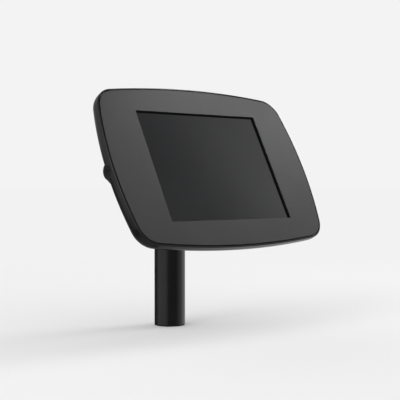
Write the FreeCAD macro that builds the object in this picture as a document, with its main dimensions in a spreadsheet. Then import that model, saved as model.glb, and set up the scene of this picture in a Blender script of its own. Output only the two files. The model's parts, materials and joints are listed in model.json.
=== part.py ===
"""Counter mount for a tablet: a lockable enclosure that turns on a bent tube arm.

Millimetres, +Z up. The origin is the middle of the arm's foot on the counter, the screen faces -Y and +X is to
the right of someone who looks at the screen. Pieces of the enclosure are drawn in the head's own frame, with X
to the right, Y up the face and Z out of it, and Z = 0 on the front of the face plate. A placement that follows
the arm then carries them to the head.
"""
import FreeCAD, Part
import os
import re
from math import atan2, hypot, pi

import Sketcher
from FreeCAD import Placement, Rotation, Vector

# Driving dimensions
SIZES = {
    # bent tube, from the counter to the head
    "tube_diameter": 40.0,
    "tube_wall": 2.5,
    "pole_length": 122.7,
    "bend_radius": 60.0,
    "arm_length": 36.5,
    "head_tilt": 27.65,
    "tube_chamfer": 0.4,
    # foot
    "foot_gasket_thickness": 1.0,
    "foot_gasket_inset": 0.3,
    "base_plug_height": 18.0,
    "base_plug_clearance": 0.05,
    "base_plug_chamfer": 1.0,
    "cable_bore_diameter": 12.0,
    "base_screw_inset": 6.0,
    "base_screw_count": 3,
    "base_screw_hole": 4.2,
    "base_screw_floor": 4.0,
    # tablet
    "tablet_width": 240.0,
    "tablet_height": 169.5,
    "tablet_corner_radius": 9.0,
    "tablet_back_radius": 3.0,
    "tablet_wall": 2.7,
    "tablet_floor": 1.0,
    "glass_thickness": 0.8,
    "glass_inset": 0.5,
    "glass_edge": 0.2,
    "bezel_side": 21.5,
    "bezel_end": 10.75,
    "display_border": 3.0,
    "display_thickness": 1.6,
    "battery_inset": 30.0,
    "battery_end_inset": 19.75,
    "battery_thickness": 3.6,
    "battery_gap": 0.5,
    "inner_corner_radius": 2.0,
    # outline of the face, shared by the plate and the case: the bays are the room beside the tablet
    "side_bay": 36.4,
    "end_bay": 21.95,
    "side_arc_radius": 393.0,
    "top_arc_radius": 1086.0,
    "corner_radius": 25.8,
    # face plate
    "plate_thickness": 2.0,
    "plate_edge_radius": 0.6,
    "window_chamfer": 0.25,
    # window gasket
    "gasket_thickness": 0.8,
    "gasket_setback": 1.5,
    "gasket_width": 8.0,
    # rear case
    "seam_gap": 1.3,
    "rim_width": 1.4,
    "rim_land": 0.1,
    "case_back_radius": 15.2,
    "case_wall": 3.6,
    "case_back_thickness": 2.4,
    "tablet_back_gap": 3.3,
    # arm flange
    "flange_rim": 9.0,
    "flange_thickness": 5.0,
    "flange_edge_radius": 1.2,
    "socket_clearance": 0.05,
    "socket_wall": 4.5,
    "socket_depth": 12.0,
    "hub_bore_diameter": 20.0,
    "neck_wall": 6.0,
    "set_screw_diameter": 5.0,
    "set_screw_count": 3,
    "set_screw_play": 0.05,
    "set_screw_sunk": 0.3,
    "set_screw_hex": 2.5,
    "set_screw_hex_depth": 2.0,
    # turning joint of the head
    "turn_clearance": 0.05,
    "outer_washer_thickness": 1.0,
    "outer_washer_inset": 2.0,
    "inner_washer_thickness": 0.8,
    "inner_washer_width": 7.0,
    "retaining_plate_thickness": 2.5,
    "retaining_plate_overhang": 0.5,
    "retaining_screw_count": 4,
    "retaining_screw_length": 8.0,
    "stop_pin_diameter": 4.0,
    "stop_pin_offset": 1.0,
    "stop_pin_floor": 1.0,
    "stop_pin_end_gap": 0.2,
    "stop_pin_play": 0.3,
    "stop_pin_hole_play": 0.05,
    "stop_pin_chamfer": 0.4,
    "head_turn": 90.0,
    "grommet_hole_inset": 1.5,
    "grommet_wall": 2.0,
    "grommet_lip": 1.2,
    "grommet_lip_thickness": 0.9,
    # backing plate inside the case
    "backing_plate_rim": 20.0,
    "backing_plate_thickness": 1.5,
    "backing_screw_edge": 6.0,
    "backing_screw_count": 4,
    # countersunk screws, M3
    "screw_diameter": 3.0,
    "screw_head_diameter": 5.6,
    "screw_head_height": 1.7,
    "screw_hex": 2.0,
    "screw_hex_depth": 1.1,
    "screw_play": 0.1,
    "screw_end": 0.2,
    # nuts, M3
    "nut_across_flats": 5.5,
    "nut_height": 1.8,
    # foam pads of the tablet
    "back_pad_size": 34.0,
    "back_pad_inset": 15.0,
    "corner_pad_leg": 36.0,
    "corner_pad_width": 9.0,
    "corner_pad_drop": 0.6,
    "pad_gap": 0.3,
    # lock, on an axis across the left wall
    "lock_drop": 3.7,
    "boss_radius": 10.8,
    "boss_edge_radius": 2.5,
    "boss_inset": 0.2,
    "boss_flare": 0.86,
    "boss_length": 15.0,
    "boss_top_gap": 1.3,
    "barrel_radius": 5.7,
    "barrel_length": 15.5,
    "barrel_head_rim": 1.1,
    "barrel_head_thickness": 1.5,
    "barrel_head_chamfer": 0.4,
    "barrel_play": 0.05,
    "clip_wall": 3.0,
    "clip_thickness": 1.2,
    "clip_play": 0.1,
    "clip_width": 3.0,
    "clip_groove_depth": 0.7,
    "clip_gap": 0.5,
    "clip_pocket_play": 0.8,
    "ledge_thickness": 1.5,
    "plug_wall": 1.5,
    "plug_recess": 0.3,
    "plug_play": 0.05,
    "plug_tail": 0.3,
    "keyway_width": 1.1,
    "keyway_wall": 1.4,
    "keyway_depth": 8.0,
    "drive_square": 4.2,
    "cam_thickness": 2.0,
    "cam_radius": 4.0,
    "cam_throw": 5.0,
    "cam_nose_back": 1.0,
    "cam_pin_radius": 1.3,
    "cam_pin_beyond": 1.0,
    "cam_play": 0.05,
    "cam_screw_head_radius": 3.2,
    "cam_screw_head_height": 1.6,
    "cam_screw_radius": 1.25,
    "cam_screw_length": 6.0,
    "cam_screw_end_gap": 0.5,
    # strike and tongue on the back of the face plate
    "bracket_thickness": 1.6,
    "strike_gap": 3.7,
    "strike_half_width": 9.0,
    "strike_flange": 12.0,
    "strike_play": 0.35,
    "strike_below_slot": 1.8,
    "strike_floor_gap": 0.85,
    "strike_stud_spacing": 11.0,
    "strike_stud_inset": 6.5,
    "tongue_width": 30.0,
    "tongue_base": 18.0,
    "tongue_step_back": 4.0,
    "tongue_drop": 0.6,
    "tongue_reach": 1.0,
    "tongue_slot_play": 0.9,
    "tongue_slot_skin": 1.0,
    "tongue_slot_depth": 4.5,
    "tongue_slot_mouth": 8.0,
    "tongue_stud_spacing": 18.0,
    "tongue_stud_inset": 12.0,
    "stud_diameter": 3.0,
    "stud_end": 1.6,
}

doc = FreeCAD.newDocument("tablet_mount")
sheet = doc.addObject("Spreadsheet::Sheet", "Sizes")
for row, (alias, size) in enumerate(SIZES.items(), start=1):
    sheet.set(f"A{row}", alias)
    sheet.set(f"B{row}", str(size))
    sheet.setAlias(f"B{row}", alias)
doc.recompute()


# Expressions and how things follow them
def linked(text):
    """A formula in plain size names, as the document reads it: each size with its sheet in front."""

    def link(word):
        return "Sizes." + word.group() if word.group() in SIZES else word.group()

    return re.sub(r"[a-z][a-z_]+", link, text)


def value(text):
    """What such a formula comes to, to draw a sketch where its constraints will hold it."""
    return float(sheet.evalExpression(linked(text)))


def bind(thing, **formulas):
    """Tie properties to formulas; two underscores in a name stand for a dot."""
    for name, text in formulas.items():
        thing.setExpression(name.replace("__", "."), linked(text))


# Sizes and places that several pieces share
TABLET_THICKNESS = "(tablet_floor + battery_thickness + battery_gap + display_thickness + glass_thickness)"
WINDOW_WIDTH = "(tablet_width - 2*bezel_side)"
WINDOW_HEIGHT = "(tablet_height - 2*bezel_end)"
FACE_WIDTH = "(tablet_width + 2*side_bay)"
FACE_HEIGHT = "(tablet_height + 2*end_bay)"

TURN_STACK = "(backing_plate_thickness + inner_washer_thickness + retaining_plate_thickness)"
BACK_SPACE = f"({TURN_STACK} + grommet_lip_thickness + tablet_back_gap)"
CASE_DEPTH = f"(plate_thickness + gasket_thickness + {TABLET_THICKNESS} + {BACK_SPACE} + case_back_thickness)"

TUBE_OUTER = "(tube_diameter/2)"
TUBE_INNER = "(tube_diameter/2 - tube_wall)"
BEND = "(90 - head_tilt)"
BEND_RUN = f"(bend_radius*tan({BEND}/2))"
HEAD_REACH = f"({BEND_RUN} + arm_length + flange_thickness + outer_washer_thickness + {CASE_DEPTH})"
HEAD_Y = f"-{HEAD_REACH}*cos(head_tilt)"
HEAD_Z = f"foot_gasket_thickness + pole_length + {BEND_RUN} + {HEAD_REACH}*sin(head_tilt)"

PLATE_BACK = "(-plate_thickness)"
GLASS_FRONT = "(-plate_thickness - gasket_thickness)"
GLASS_BACK = f"({GLASS_FRONT} - glass_thickness)"
TABLET_BACK = f"({GLASS_FRONT} - {TABLET_THICKNESS})"
CASE_BACK = f"(-{CASE_DEPTH})"
CASE_FLOOR = f"(case_back_thickness - {CASE_DEPTH})"
FLANGE_FRONT = f"({CASE_BACK} - outer_washer_thickness)"
FLANGE_BACK = f"({FLANGE_FRONT} - flange_thickness)"
BACKING_FRONT = f"({CASE_FLOOR} + backing_plate_thickness)"
NECK_FRONT = f"({BACKING_FRONT} + inner_washer_thickness)"
RETAINER_FRONT = f"({NECK_FRONT} + retaining_plate_thickness)"

PLATE_EDGE = "plate_edge_radius"
SEAM_EDGE = "(plate_edge_radius + seam_gap)"
CASE_EDGE = f"({SEAM_EDGE} + rim_width)"
CAVITY_EDGE = f"({CASE_EDGE} - case_wall)"

NECK = "(hub_bore_diameter/2 + neck_wall)"
NECK_HOLE = f"({NECK} + turn_clearance)"
RETAINING_SCREWS = "(hub_bore_diameter/2 + neck_wall/2)"
INNER_WASHER = f"({NECK} + inner_washer_width)"
STOP_CIRCLE = f"({INNER_WASHER} + stop_pin_offset + stop_pin_diameter/2)"
FLANGE = f"({STOP_CIRCLE} + flange_rim)"
BACKING_PLATE = f"({STOP_CIRCLE} + backing_plate_rim)"
BACKING_SCREWS = f"({BACKING_PLATE} - backing_screw_edge)"
GROMMET_HOLE = "(hub_bore_diameter/2 - grommet_hole_inset)"


# Sketch helpers
def new_sketch(body, name, plane, x="0", y="0", z="0"):
    """A sketch on one of the body's own planes, its origin moved in that plane by x and y and off it by z."""
    sketch = body.newObject("Sketcher::SketchObject", name)
    support = next(feature for feature in body.Origin.OriginFeatures if feature.Role == plane)
    sketch.AttachmentSupport = [(support, "")]
    sketch.MapMode = "FlatFace"
    bind(sketch, AttachmentOffset__Base__x=x, AttachmentOffset__Base__y=y, AttachmentOffset__Base__z=z)
    return sketch


def dimension(sketch, kind, *target, size):
    """A dimension of the sketch that follows a formula."""
    index = sketch.addConstraint(Sketcher.Constraint(kind, *target, value(size)))
    sketch.setExpression(f"Constraints[{index}]", linked(size))


def hold(sketch, shape, point, x, y):
    """Fix a point of the sketch by its two coordinates."""
    for kind, axis, size in (("DistanceX", -2, x), ("DistanceY", -1, y)):
        if size == "0":
            sketch.addConstraint(Sketcher.Constraint("PointOnObject", shape, point, axis))
        else:
            dimension(sketch, kind, -1, 1, shape, point, size=size)


def circle(sketch, radius, x="0", y="0"):
    shape = Part.Circle(Vector(value(x), value(y), 0), Vector(0, 0, 1), value(radius))
    index = sketch.addGeometry(shape, False)
    hold(sketch, index, 3, x, y)
    dimension(sketch, "Radius", index, size=radius)


def path(sketch, steps):
    """A closed outline. A step (x, y) is a line's end; (x, y, centre x, centre y, turn) is an arc's end, with
    turn 1 for anticlockwise and -1 for clockwise."""
    ends = []
    corner = steps[-1]
    for step in steps:
        start = Vector(value(corner[0]), value(corner[1]), 0)
        finish = Vector(value(step[0]), value(step[1]), 0)
        if len(step) == 2:
            index = sketch.addGeometry(Part.LineSegment(start, finish), False)
            ends.append((index, 1, 2))
        else:
            centre = Vector(value(step[2]), value(step[3]), 0)
            first, last = (start, finish) if step[4] > 0 else (finish, start)
            ring = Part.Circle(centre, Vector(0, 0, 1), hypot(first.x - centre.x, first.y - centre.y))
            angles = [atan2(point.y - centre.y, point.x - centre.x) for point in (first, last)]
            if angles[1] <= angles[0]:
                angles[1] += 2*pi
            index = sketch.addGeometry(Part.ArcOfCircle(ring, *angles), False)
            ends.append((index, 1, 2) if step[4] > 0 else (index, 2, 1))
            chord = finish - start
            if abs(chord.y) >= abs(chord.x):
                dimension(sketch, "DistanceX", -1, 1, index, 3, size=step[2])
            else:
                dimension(sketch, "DistanceY", -1, 1, index, 3, size=step[3])
        corner = step
    for (before, _, tail), (after, head, _) in zip(ends, ends[1:] + ends[:1]):
        sketch.addConstraint(Sketcher.Constraint("Coincident", before, tail, after, head))
    for (index, _, tail), step in zip(ends, steps):
        hold(sketch, index, tail, step[0], step[1])


def rectangle(sketch, left, bottom, right, top):
    path(sketch, [(right, bottom), (right, top), (left, top), (left, bottom)])


def rounded_rectangle(sketch, half_width, half_height, radius):
    """A rectangle about the origin with its corners rounded."""
    wide, high = f"({half_width} - {radius})", f"({half_height} - {radius})"
    path(sketch, [
        (f"{half_width}", f"{high}"),
        (f"{wide}", f"{half_height}", wide, high, 1),
        (f"-{wide}", f"{half_height}"),
        (f"-({half_width})", f"{high}", f"-{wide}", high, 1),
        (f"-({half_width})", f"-{high}"),
        (f"-{wide}", f"-({half_height})", f"-{wide}", f"-{high}", 1),
        (f"{wide}", f"-({half_height})"),
        (f"{half_width}", f"-{high}", wide, f"-{high}", 1),
    ])


def face_outline(sketch, growth):
    """The outline of the face grown by a distance: four long bowed arcs and four corner arcs, all tangent."""
    more = value(growth)
    side, top, corner = value("side_arc_radius"), value("top_arc_radius"), value("corner_radius")
    side_x = value(f"{FACE_WIDTH}/2") - side
    top_y = value(f"{FACE_HEIGHT}/2") - top
    # the corner arc's centre lies where two circles about the long arcs' centres cross
    near, far, span = side - corner, top - corner, hypot(side_x, top_y)
    along = (near**2 - far**2 + span**2)/(2*span)
    across = (near**2 - along**2)**0.5
    toward = Vector(-side_x, top_y, 0)/span
    square = Vector(-toward.y, toward.x, 0)
    centre = Vector(side_x, 0, 0) + toward*along + square*across
    turn_in = atan2(centre.y, centre.x - side_x)
    turn_out = atan2(centre.y - top_y, centre.x)
    arcs = [
        (side_x, 0, side, -turn_in, turn_in),
        (centre.x, centre.y, corner, turn_in, turn_out),
        (0, top_y, top, turn_out, pi - turn_out),
        (-centre.x, centre.y, corner, pi - turn_out, pi - turn_in),
        (-side_x, 0, side, pi - turn_in, pi + turn_in),
        (-centre.x, -centre.y, corner, pi + turn_in, pi + turn_out),
        (0, -top_y, top, pi + turn_out, 2*pi - turn_out),
        (centre.x, -centre.y, corner, 2*pi - turn_out, 2*pi - turn_in),
    ]
    first = sketch.GeometryCount
    for x, y, radius, start, finish in arcs:
        ring = Part.Circle(Vector(x, y, 0), Vector(0, 0, 1), radius + more)
        sketch.addGeometry(Part.ArcOfCircle(ring, start, finish), False)
    for step in range(8):
        sketch.addConstraint(Sketcher.Constraint("Tangent", first + step, 2, first + (step + 1) % 8, 1))
    for step, axis in ((0, -1), (4, -1), (2, -2), (6, -2)):
        sketch.addConstraint(Sketcher.Constraint("PointOnObject", first + step, 3, axis))
    for same, others in ((0, (4,)), (2, (6,)), (1, (3, 5, 7))):
        for other in others:
            sketch.addConstraint(Sketcher.Constraint("Equal", first + same, first + other))
    dimension(sketch, "Radius", first, size=f"side_arc_radius + {growth}")
    dimension(sketch, "Radius", first + 1, size=f"corner_radius + {growth}")
    dimension(sketch, "Radius", first + 2, size=f"top_arc_radius + {growth}")
    inward, downward = f"{FACE_WIDTH}/2 - side_arc_radius", f"{FACE_HEIGHT}/2 - top_arc_radius"
    dimension(sketch, "DistanceX", -1, 1, first, 3, size=inward)
    dimension(sketch, "DistanceX", first + 4, 3, -1, 1, size=inward)
    dimension(sketch, "DistanceY", -1, 1, first + 2, 3, size=downward)
    dimension(sketch, "DistanceY", first + 6, 3, -1, 1, size=downward)


# Feature helpers
def new_body(name):
    return doc.addObject("PartDesign::Body", name)


def pad(body, sketch, length, both_ways=False):
    feature = body.newObject("PartDesign::Pad", sketch.Name + "_pad")
    feature.Profile = sketch
    feature.Midplane = both_ways
    bind(feature, Length=length)
    return feature


def pocket(body, sketch, depth, forwards=False):
    """A cut from the sketch, against its normal unless it is told to go forwards."""
    feature = body.newObject("PartDesign::Pocket", sketch.Name + "_pocket")
    feature.Profile = sketch
    feature.Reversed = forwards
    bind(feature, Length=depth)
    return feature


def turned(body, sketch, axis):
    """A turned solid about one of the sketch's own axes."""
    feature = body.newObject("PartDesign::Revolution", sketch.Name + "_turned")
    feature.Profile = sketch
    feature.ReferenceAxis = (sketch, [axis])
    feature.Angle = 360
    return feature


def ringed(body, features, sketch, count):
    """Copies of features, evenly round the normal of a sketch that stands on their common axis."""
    feature = body.newObject("PartDesign::PolarPattern", features[-1].Name + "_ring")
    feature.Originals = features
    feature.Axis = (sketch, ["N_Axis"])
    feature.Angle = 360
    bind(feature, Occurrences=count)
    body.Tip = feature
    return feature


def edges_where(feature, test):
    doc.recompute()
    names = [f"Edge{place}" for place, edge in enumerate(feature.Shape.Edges, start=1) if test(edge)]
    if not names:
        raise RuntimeError("no edge found to finish on " + feature.Name)
    return names


def lies_at(level):
    """A test for edges that lie flat at one height of the sketch frame."""
    height = value(level)
    return lambda edge: all(abs(bound - height) < 1e-4 for bound in (edge.BoundBox.ZMin, edge.BoundBox.ZMax))


def rounded(body, feature, test, radius):
    finish = body.newObject("PartDesign::Fillet", feature.Name + "_round")
    finish.Base = (feature, edges_where(feature, test))
    bind(finish, Radius=radius)
    return finish


def chamfered(body, feature, test, size):
    finish = body.newObject("PartDesign::Chamfer", feature.Name + "_chamfer")
    finish.Base = (feature, edges_where(feature, test))
    bind(finish, Size=size)
    return finish


def cylinder(name, radius, length, x="0", y="0", z="0", across=False):
    """A cylinder from a point, up Z or, where it lies across the head, along X."""
    solid = doc.addObject("Part::Cylinder", name)
    solid.Placement = Placement(Vector(), Rotation(Vector(0, 1, 0), 90 if across else 0))
    bind(solid, Radius=radius, Height=length)
    bind(solid, Placement__Base__x=x, Placement__Base__y=y, Placement__Base__z=z)
    return solid


def block(name, low, high):
    """A block between two corners."""
    solid = doc.addObject("Part::Box", name)
    for side, start, finish in zip(("Length", "Width", "Height"), low, high):
        bind(solid, **{side: f"({finish}) - ({start})"})
    bind(solid, Placement__Base__x=low[0], Placement__Base__y=low[1], Placement__Base__z=low[2])
    return solid


def joined(name, solids):
    result = doc.addObject("Part::MultiFuse", name)
    result.Shapes = solids
    return result


def cut_from(name, base, tools):
    result = doc.addObject("Part::Cut", name)
    result.Base = base
    result.Tool = tools[0] if len(tools) == 1 else joined(name + "_cuts", tools)
    return result


def shared(name, first, second):
    result = doc.addObject("Part::Common", name)
    result.Base = first
    result.Tool = second
    return result


def on_head(piece):
    """Carry a piece from the head's frame to where the arm holds it. The 45 only sets the turn's axis."""
    piece.Placement = Placement(Vector(), Rotation(Vector(1, 0, 0), 45))
    bind(piece, Placement__Base__y=HEAD_Y, Placement__Base__z=HEAD_Z, Placement__Rotation__Angle=BEND)
    return piece


pieces = []


def finished(name, piece, head=True):
    piece.Label = name
    pieces.append(on_head(piece) if head else piece)


# Tube: a straight pole up from the counter, and a bent arm welded on it that reaches towards the head
def make_arm_pole():
    body = new_body("arm_pole_body")
    ring = new_sketch(body, "pole_ring", "XY_Plane", z="foot_gasket_thickness")
    circle(ring, TUBE_OUTER)
    circle(ring, TUBE_INNER)
    solid = pad(body, ring, "pole_length")
    wide = value(TUBE_OUTER)
    foot = lies_at("foot_gasket_thickness")
    chamfered(body, solid, lambda edge: foot(edge) and edge.BoundBox.XLength > 2*wide - 0.1, "tube_chamfer")
    finished("arm_pole", body, head=False)


def make_arm_bend():
    body = new_body("arm_bend_body")
    level = "(foot_gasket_thickness + pole_length)"
    start = new_sketch(body, "bend_section", "XY_Plane", z=level)
    circle(start, TUBE_OUTER)
    bore = new_sketch(body, "bend_bore", "XY_Plane", z=level)
    circle(bore, TUBE_INNER)
    route = new_sketch(body, "bend_route", "YZ_Plane", y=level)
    bend_y, bend_z = f"-bend_radius*(1 - cos({BEND}))", f"bend_radius*sin({BEND})"
    end_y, end_z = f"{bend_y} - arm_length*cos(head_tilt)", f"{bend_z} + arm_length*sin(head_tilt)"
    ring = Part.Circle(Vector(value("-bend_radius"), 0, 0), Vector(0, 0, 1), value("bend_radius"))
    bend = route.addGeometry(Part.ArcOfCircle(ring, 0, value(BEND)*pi/180), False)
    bend_end = Vector(value(bend_y), value(bend_z), 0)
    arm_end = Vector(value(end_y), value(end_z), 0)
    arm = route.addGeometry(Part.LineSegment(bend_end, arm_end), False)
    route.addConstraint(Sketcher.Constraint("Coincident", bend, 1, -1, 1))
    route.addConstraint(Sketcher.Constraint("PointOnObject", bend, 3, -1))
    dimension(route, "Radius", bend, size="bend_radius")
    route.addConstraint(Sketcher.Constraint("Tangent", bend, 2, arm, 1))
    dimension(route, "DistanceX", -1, 1, arm, 2, size=end_y)
    dimension(route, "DistanceY", -1, 1, arm, 2, size=end_z)
    outside = body.newObject("PartDesign::AdditivePipe", "bend_outside")
    outside.Profile = start
    outside.Spine = (route, ["Edge1", "Edge2"])
    doc.recompute()
    inside = body.newObject("PartDesign::SubtractivePipe", "bend_inside")
    inside.Profile = bore
    inside.Spine = (route, ["Edge1", "Edge2"])
    doc.recompute()
    finished("arm_bend", body, head=False)


# Plug in the foot of the tube, with the fixing screw holes and the cable hole
def make_base_plug():
    body = new_body("base_plug_body")
    disc = new_sketch(body, "plug_disc", "XY_Plane")
    circle(disc, f"{TUBE_INNER} - base_plug_clearance")
    solid = pad(body, disc, "base_plug_height")
    chamfered(body, solid, lies_at("base_plug_height"), "base_plug_chamfer")
    doc.recompute()
    cable = new_sketch(body, "plug_cable_hole", "XY_Plane", z="base_plug_height")
    circle(cable, "cable_bore_diameter/2")
    pocket(body, cable, "base_plug_height")
    depth = "(base_plug_height - base_screw_floor)"
    screw = new_sketch(body, "plug_screw_hole", "XY_Plane", z=depth)
    circle(screw, "base_screw_hole/2", y="cable_bore_diameter/2 + base_screw_inset")
    hole = pocket(body, screw, depth)
    doc.recompute()
    ringed(body, [hole], screw, "base_screw_count")
    finished("base_plug", body, head=False)


# Rubber ring between the tube and the counter
def make_foot_gasket():
    body = new_body("foot_gasket_body")
    ring = new_sketch(body, "gasket_ring", "XY_Plane")
    circle(ring, f"{TUBE_OUTER} - foot_gasket_inset")
    circle(ring, f"{TUBE_INNER} + foot_gasket_inset")
    pad(body, ring, "foot_gasket_thickness")
    finished("foot_gasket", body, head=False)


# Flange: a neck through the case's back, a disc behind it and a socket for the tube
def make_arm_flange():
    body = new_body("arm_flange_body")
    profile = new_sketch(body, "flange_profile", "XZ_Plane")
    bore, neck, disc = "hub_bore_diameter/2", NECK, FLANGE
    socket = f"({TUBE_OUTER} + socket_clearance)"
    collar = f"({socket} + socket_wall)"
    socket_end = f"{FLANGE_BACK} - socket_depth"
    path(profile, [
        (neck, NECK_FRONT), (bore, NECK_FRONT), (bore, FLANGE_BACK), (socket, FLANGE_BACK),
        (socket, socket_end), (collar, socket_end), (collar, FLANGE_BACK), (disc, FLANGE_BACK),
        (disc, FLANGE_FRONT), (neck, FLANGE_FRONT),
    ])
    solid = turned(body, profile, "V_Axis")
    wide, thick = value(disc), value(collar)

    def outer_rim(edge):
        reach = edge.BoundBox.XLength/2
        at_disc = lies_at(FLANGE_BACK)(edge) and abs(reach - wide) < 1e-4
        at_collar = lies_at(socket_end)(edge) and abs(reach - thick) < 1e-4
        return at_disc or at_collar

    rounded(body, solid, outer_rim, "flange_edge_radius")
    doc.recompute()
    tapped = new_sketch(body, "neck_screw_hole", "XY_Plane", z=NECK_FRONT)
    circle(tapped, "screw_diameter/2 + turn_clearance", x=RETAINING_SCREWS)
    screw_hole = pocket(body, tapped, "retaining_screw_length")
    doc.recompute()
    ringed(body, [screw_hole], tapped, "retaining_screw_count")
    doc.recompute()
    pin = new_sketch(body, "flange_pin_hole", "XY_Plane", z=FLANGE_FRONT)
    stop_circle(pin, "stop_pin_diameter/2 + stop_pin_hole_play")
    pocket(body, pin, "flange_thickness - stop_pin_floor")
    doc.recompute()
    level = f"{FLANGE_BACK} - socket_depth/2"
    side = new_sketch(body, "set_screw_hole", "XZ_Plane", y=level, z=f"-({collar} + 1)")
    circle(side, "set_screw_diameter/2 + set_screw_play")
    radial = pocket(body, side, "socket_wall + 3", forwards=True)
    axis = new_sketch(body, "flange_axis", "XY_Plane")
    doc.recompute()
    ringed(body, [radial], axis, "set_screw_count")
    finished("arm_flange", body)


def stop_circle(sketch, radius):
    """A circle where the stop pin stands: on its own circle, halfway through the turn above the level."""
    swing = "(90 + head_turn/2)"
    circle(sketch, radius, x=f"{STOP_CIRCLE}*cos({swing})", y=f"{STOP_CIRCLE}*sin({swing})")


# Grub screws that press on the tube through the socket's wall
def make_collar_set_screws():
    body = new_body("collar_set_screws_body")
    reach = f"({TUBE_OUTER} + socket_clearance + socket_wall)"
    level = f"{FLANGE_BACK} - socket_depth/2"
    section = new_sketch(body, "set_screw_section", "XZ_Plane", y=level, z=f"-{reach} + set_screw_sunk")
    circle(section, "set_screw_diameter/2")
    shank = pad(body, section, "socket_wall + socket_clearance - set_screw_sunk")
    hexagon = new_sketch(body, "set_screw_hexagon", "XZ_Plane", y=level, z=f"-{reach} + set_screw_sunk")
    hexagon_path(hexagon, "set_screw_hex")
    doc.recompute()
    drive = pocket(body, hexagon, "set_screw_hex_depth", forwards=True)
    doc.recompute()
    axis = new_sketch(body, "set_screw_axis", "XY_Plane")
    ringed(body, [shank, drive], axis, "set_screw_count")
    finished("collar_set_screws", body)


def hexagon_path(sketch, across, x="0", y="0"):
    """A hexagon about a point, by its size across flats."""
    corner, half = f"({across})/2/cos(30)", f"({across})/2"
    path(sketch, [
        (f"{x} + {corner}", y), (f"{x} + {corner}/2", f"{y} + {half}"), (f"{x} - {corner}/2", f"{y} + {half}"),
        (f"{x} - {corner}", y), (f"{x} - {corner}/2", f"{y} - {half}"), (f"{x} + {corner}/2", f"{y} - {half}"),
    ])


# Friction washers on both sides of the case's back
def make_friction_washers():
    outer = new_body("outer_friction_washer_body")
    ring = new_sketch(outer, "outer_washer_ring", "XY_Plane", z=FLANGE_FRONT)
    circle(ring, f"{FLANGE} - outer_washer_inset")
    circle(ring, NECK_HOLE)
    stop_circle(ring, "stop_pin_diameter/2 + stop_pin_hole_play")
    pad(outer, ring, "outer_washer_thickness")
    finished("outer_friction_washer", outer)
    inner = new_body("inner_friction_washer_body")
    ring = new_sketch(inner, "inner_washer_ring", "XY_Plane", z=BACKING_FRONT)
    circle(ring, INNER_WASHER)
    circle(ring, NECK_HOLE)
    pad(inner, ring, "inner_washer_thickness")
    finished("inner_friction_washer", inner)


# Countersunk screws and their holes share one profile: a cone under the head and a shank
def countersunk(body, name, plane_level, facing, circle_radius, play, length):
    """The half section of a countersunk screw, or of its hole with play. Its flat head lies at a level and
    faces up Z for 1 and down for -1."""
    profile = new_sketch(body, name, "XZ_Plane", x=circle_radius)
    head, shank = f"(screw_head_diameter/2 + {play})", f"(screw_diameter/2 + {play})"
    under = f"{plane_level} - {facing}*screw_head_height"
    tip = f"{plane_level} - {facing}*({length})"
    path(profile, [(head, plane_level), (shank, under), (shank, tip), ("0", tip), ("0", plane_level)])
    return profile


def make_countersunk_screws(name, level, facing, circle_radius, count, length):
    """A ring of countersunk screws with hexagon sockets."""
    body = new_body(name + "_body")
    profile = countersunk(body, name + "_profile", level, facing, circle_radius, "0", length)
    solid = turned(body, profile, "V_Axis")
    doc.recompute()
    hexagon = new_sketch(body, name + "_hexagon", "XY_Plane", z=level)
    hexagon_path(hexagon, "screw_hex", x=circle_radius)
    drive = pocket(body, hexagon, "screw_hex_depth", forwards=facing < 0)
    doc.recompute()
    axis = new_sketch(body, name + "_axis", "XY_Plane")
    ringed(body, [solid, drive], axis, count)
    finished(name, body)


def countersink_cuts(body, name, level, facing, circle_radius, count, length):
    profile = countersunk(body, name, level, facing, circle_radius, "screw_play", length)
    cut = body.newObject("PartDesign::Groove", name + "_groove")
    cut.Profile = profile
    cut.ReferenceAxis = (profile, ["V_Axis"])
    cut.Angle = 360
    doc.recompute()
    axis = new_sketch(body, name + "_axis", "XY_Plane")
    ringed(body, [cut], axis, count)


# Retaining plate on the end of the neck, with its screws and the cable grommet
def make_retaining_plate():
    body = new_body("retaining_plate_body")
    disc = new_sketch(body, "retaining_disc", "XY_Plane", z=NECK_FRONT)
    circle(disc, f"{INNER_WASHER} + retaining_plate_overhang")
    circle(disc, GROMMET_HOLE)
    pad(body, disc, "retaining_plate_thickness")
    doc.recompute()
    countersink_cuts(body, "retaining_holes", RETAINER_FRONT, 1, RETAINING_SCREWS,
                     "retaining_screw_count", "retaining_plate_thickness + 1")
    finished("retaining_plate", body)
    make_countersunk_screws("retaining_screws", RETAINER_FRONT, 1, RETAINING_SCREWS,
                            "retaining_screw_count", "retaining_screw_length")


def make_hub_grommet():
    body = new_body("hub_grommet_body")
    profile = new_sketch(body, "grommet_profile", "XZ_Plane")
    groove = GROMMET_HOLE
    bore, lip = f"({groove} - grommet_wall)", f"({groove} + grommet_lip)"
    front, back = f"{RETAINER_FRONT} + grommet_lip_thickness", f"{NECK_FRONT} - grommet_lip_thickness"
    path(profile, [
        (lip, front), (bore, front), (bore, back), (lip, back),
        (lip, NECK_FRONT), (groove, NECK_FRONT), (groove, RETAINER_FRONT), (lip, RETAINER_FRONT),
    ])
    turned(body, profile, "V_Axis")
    finished("hub_grommet", body)


# Stop pin, pressed into the flange, that runs in the curved slot of the case
def make_stop_pin():
    body = new_body("stop_pin_body")
    foot, tip = f"({FLANGE_BACK} + stop_pin_floor + stop_pin_end_gap)", f"({BACKING_FRONT} - stop_pin_end_gap)"
    section = new_sketch(body, "stop_pin_section", "XY_Plane", z=foot)
    stop_circle(section, "stop_pin_diameter/2")
    solid = pad(body, section, f"{tip} - {foot}")
    chamfered(body, solid, lies_at(tip), "stop_pin_chamfer")
    finished("stop_pin", body)


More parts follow.
